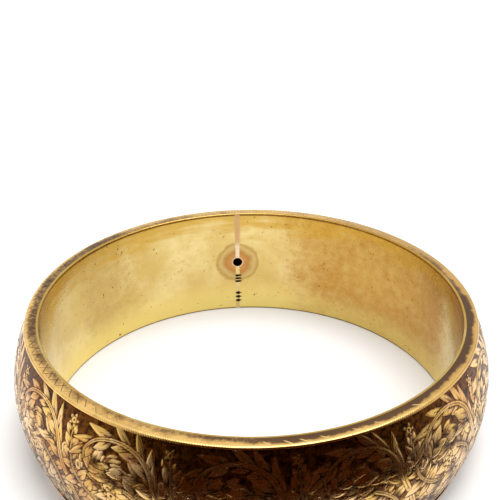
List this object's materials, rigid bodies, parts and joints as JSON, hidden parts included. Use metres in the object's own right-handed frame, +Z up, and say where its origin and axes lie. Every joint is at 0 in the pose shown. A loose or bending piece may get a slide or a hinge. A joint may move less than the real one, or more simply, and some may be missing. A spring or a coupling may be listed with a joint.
{
  "type": "bangle bracelet",
  "caption": "Closed slip-on bangle: a hollow band with a plain inner liner, a domed outer shell engraved with leaf scrolls and flat hatched edge rims.",
  "frame": {"origin": "centre of the wrist hole, at the plane of the lower rim's face that the bangle stands on", "axes": "+Z up the wrist hole's axis; +Y towards the liner's butt seam and vent hole; +X to the right seen from the side opposite the seam"},
  "size_m": [0.0708, 0.0708, 0.0194],
  "materials": {
    "liner_gold": "satin inside, worn and lightly tarnished 14 ct gold",
    "shell_gold": "hand engraved, bright leaves over a dark cut ground",
    "rim_gold": "polished, cut with a hatched border, darkened towards the liner",
    "gold_solder": "pale gold solder"
  },
  "bodies": {
    "root": {"inner_liner": "liner_gold", "liner_seam_solder": "gold_solder", "outer_shell": "shell_gold", "shell_seam_solder": "gold_solder", "upper_rim": "rim_gold", "upper_rim_seam_solder": "gold_solder", "lower_rim": "rim_gold", "lower_rim_seam_solder": "gold_solder", "upper_liner_solder": "gold_solder", "upper_shell_solder": "gold_solder", "lower_liner_solder": "gold_solder", "lower_shell_solder": "gold_solder"}
  },
  "joints": []
}
